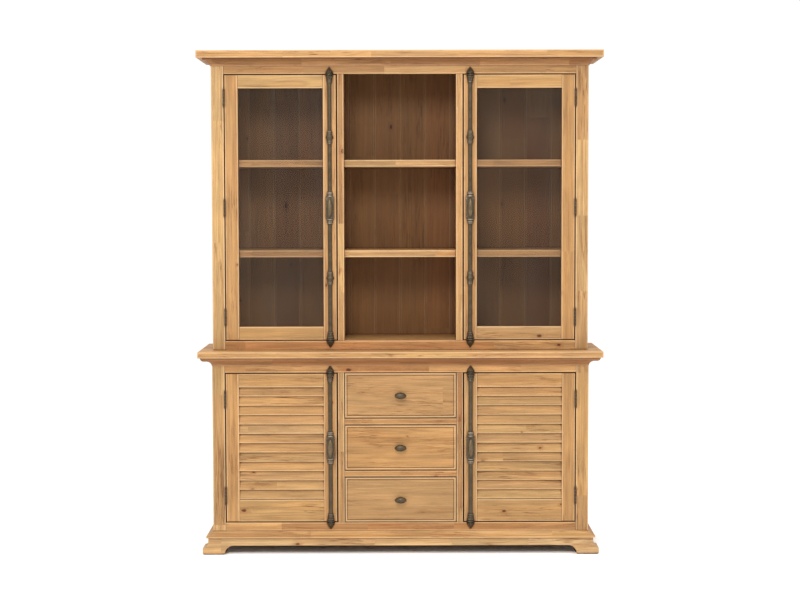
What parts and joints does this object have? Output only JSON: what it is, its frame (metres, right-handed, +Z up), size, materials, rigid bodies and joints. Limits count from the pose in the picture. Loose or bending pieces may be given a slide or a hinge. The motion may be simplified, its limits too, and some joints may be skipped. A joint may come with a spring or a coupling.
{
  "type": "pantry cabinet",
  "caption": "Two-part wooden buffet and hutch: glazed doors beside an open shelved bay above, louvred doors beside stacked drawers below, with bolt-latched doors.",
  "frame": {"origin": "on the floor, at the middle of the overall footprint, mouldings and counter included", "axes": "+Z up, the front with the doors and drawers faces -Y, +X to the right as seen from the front"},
  "size_m": [1.768, 0.458, 2.2],
  "materials": {
    "wood": "satin",
    "inner_wood": "matte",
    "bronze": "satin",
    "glass": "gloss"
  },
  "bodies": {
    "root": {"plinth_boards": "wood", "plinth_moulding": "wood", "plinth_back": "inner_wood", "base_sides": "wood", "base_floor": "wood", "base_partitions": "wood", "base_face_frame": "wood", "base_back": "inner_wood", "base_shelves": "inner_wood", "drawer_runners": "inner_wood", "counter_top": "wood", "counter_moulding": "wood", "hutch_sides": "wood", "hutch_floor": "wood", "hutch_partitions": "wood", "hutch_face_frame": "wood", "hutch_back": "inner_wood", "hutch_shelves": "wood", "hutch_roof": "inner_wood", "cornice_moulding": "wood", "cornice_cap": "wood", "frame_hinge_leaves": "bronze", "bolt_keepers": "bronze"},
    "top_drawer": {"top_drawer_front": "wood", "top_drawer_box": "inner_wood", "top_drawer_knob": "bronze"},
    "middle_drawer": {"middle_drawer_front": "wood", "middle_drawer_box": "inner_wood", "middle_drawer_knob": "bronze"},
    "bottom_drawer": {"bottom_drawer_front": "wood", "bottom_drawer_box": "inner_wood", "bottom_drawer_knob": "bronze"},
    "upper_left_door": {"upper_left_door_frame": "wood", "upper_left_door_panel": "glass", "upper_left_hinge_leaves": "bronze", "upper_left_bolt_case": "bronze"},
    "upper_left_handle": {"upper_left_bolt_handle": "bronze"},
    "upper_left_rod_up": {"upper_left_bolt_rod_up": "bronze"},
    "upper_left_rod_down": {"upper_left_bolt_rod_down": "bronze"},
    "upper_right_door": {"upper_right_door_frame": "wood", "upper_right_door_panel": "glass", "upper_right_hinge_leaves": "bronze", "upper_right_bolt_case": "bronze"},
    "upper_right_handle": {"upper_right_bolt_handle": "bronze"},
    "upper_right_rod_up": {"upper_right_bolt_rod_up": "bronze"},
    "upper_right_rod_down": {"upper_right_bolt_rod_down": "bronze"},
    "lower_left_door": {"lower_left_door_frame": "wood", "lower_left_door_panel": "wood", "lower_left_hinge_leaves": "bronze", "lower_left_bolt_case": "bronze"},
    "lower_left_handle": {"lower_left_bolt_handle": "bronze"},
    "lower_left_rod_up": {"lower_left_bolt_rod_up": "bronze"},
    "lower_left_rod_down": {"lower_left_bolt_rod_down": "bronze"},
    "lower_right_door": {"lower_right_door_frame": "wood", "lower_right_door_panel": "wood", "lower_right_hinge_leaves": "bronze", "lower_right_bolt_case": "bronze"},
    "lower_right_handle": {"lower_right_bolt_handle": "bronze"},
    "lower_right_rod_up": {"lower_right_bolt_rod_up": "bronze"},
    "lower_right_rod_down": {"lower_right_bolt_rod_down": "bronze"}
  },
  "joints": [
    {"name": "top_drawer_slide", "type": "slide", "parent": "root", "child": "top_drawer", "axis": [0, -1, 0], "range_m": [0, 0.28]},
    {"name": "middle_drawer_slide", "type": "slide", "parent": "root", "child": "middle_drawer", "axis": [0, -1, 0], "range_m": [0, 0.28]},
    {"name": "bottom_drawer_slide", "type": "slide", "parent": "root", "child": "bottom_drawer", "axis": [0, -1, 0], "range_m": [0, 0.28]},
    {"name": "upper_left_door_hinge", "type": "hinge", "parent": "root", "child": "upper_left_door", "pos_m": [-0.76825, -0.1292, 0.9365], "axis": [0, 0, -1], "range_deg": [0, 110]},
    {"name": "upper_left_handle_turn", "type": "hinge", "parent": "upper_left_door", "child": "upper_left_handle", "pos_m": [-0.3075, -0.125, 1.517], "axis": [0, -1, 0], "range_deg": [0, 90]},
    {"name": "upper_left_rod_up_slide", "type": "slide", "parent": "upper_left_door", "child": "upper_left_rod_up", "axis": [0, 0, 1], "range_m": [0, 0.0126]},
    {"name": "upper_left_rod_down_slide", "type": "slide", "parent": "upper_left_door", "child": "upper_left_rod_down", "axis": [0, 0, -1], "range_m": [0, 0.0126]},
    {"name": "upper_right_door_hinge", "type": "hinge", "parent": "root", "child": "upper_right_door", "pos_m": [0.76825, -0.1292, 0.9365], "axis": [0, 0, 1], "range_deg": [0, 110]},
    {"name": "upper_right_handle_turn", "type": "hinge", "parent": "upper_right_door", "child": "upper_right_handle", "pos_m": [0.3075, -0.125, 1.517], "axis": [0, 1, 0], "range_deg": [0, 90]},
    {"name": "upper_right_rod_up_slide", "type": "slide", "parent": "upper_right_door", "child": "upper_right_rod_up", "axis": [0, 0, 1], "range_m": [0, 0.0126]},
    {"name": "upper_right_rod_down_slide", "type": "slide", "parent": "upper_right_door", "child": "upper_right_rod_down", "axis": [0, 0, -1], "range_m": [0, 0.0126]},
    {"name": "lower_left_door_hinge", "type": "hinge", "parent": "root", "child": "lower_left_door", "pos_m": [-0.76825, -0.1752, 0.138], "axis": [0, 0, -1], "range_deg": [0, 110]},
    {"name": "lower_left_handle_turn", "type": "hinge", "parent": "lower_left_door", "child": "lower_left_handle", "pos_m": [-0.3075, -0.171, 0.46575], "axis": [0, -1, 0], "range_deg": [0, 90]},
    {"name": "lower_left_rod_up_slide", "type": "slide", "parent": "lower_left_door", "child": "lower_left_rod_up", "axis": [0, 0, 1], "range_m": [0, 0.0126]},
    {"name": "lower_left_rod_down_slide", "type": "slide", "parent": "lower_left_door", "child": "lower_left_rod_down", "axis": [0, 0, -1], "range_m": [0, 0.0126]},
    {"name": "lower_right_door_hinge", "type": "hinge", "parent": "root", "child": "lower_right_door", "pos_m": [0.76825, -0.1752, 0.138], "axis": [0, 0, 1], "range_deg": [0, 110]},
    {"name": "lower_right_handle_turn", "type": "hinge", "parent": "lower_right_door", "child": "lower_right_handle", "pos_m": [0.3075, -0.171, 0.46575], "axis": [0, 1, 0], "range_deg": [0, 90]},
    {"name": "lower_right_rod_up_slide", "type": "slide", "parent": "lower_right_door", "child": "lower_right_rod_up", "axis": [0, 0, 1], "range_m": [0, 0.0126]},
    {"name": "lower_right_rod_down_slide", "type": "slide", "parent": "lower_right_door", "child": "lower_right_rod_down", "axis": [0, 0, -1], "range_m": [0, 0.0126]}
  ],
  "couplings": [
    {"joint": "upper_left_rod_up_slide", "follows": "upper_left_handle_turn", "m_per_rad": 0.008},
    {"joint": "upper_left_rod_down_slide", "follows": "upper_left_handle_turn", "m_per_rad": 0.008},
    {"joint": "upper_right_rod_up_slide", "follows": "upper_right_handle_turn", "m_per_rad": 0.008},
    {"joint": "upper_right_rod_down_slide", "follows": "upper_right_handle_turn", "m_per_rad": 0.008},
    {"joint": "lower_left_rod_up_slide", "follows": "lower_left_handle_turn", "m_per_rad": 0.008},
    {"joint": "lower_left_rod_down_slide", "follows": "lower_left_handle_turn", "m_per_rad": 0.008},
    {"joint": "lower_right_rod_up_slide", "follows": "lower_right_handle_turn", "m_per_rad": 0.008},
    {"joint": "lower_right_rod_down_slide", "follows": "lower_right_handle_turn", "m_per_rad": 0.008}
  ]
}
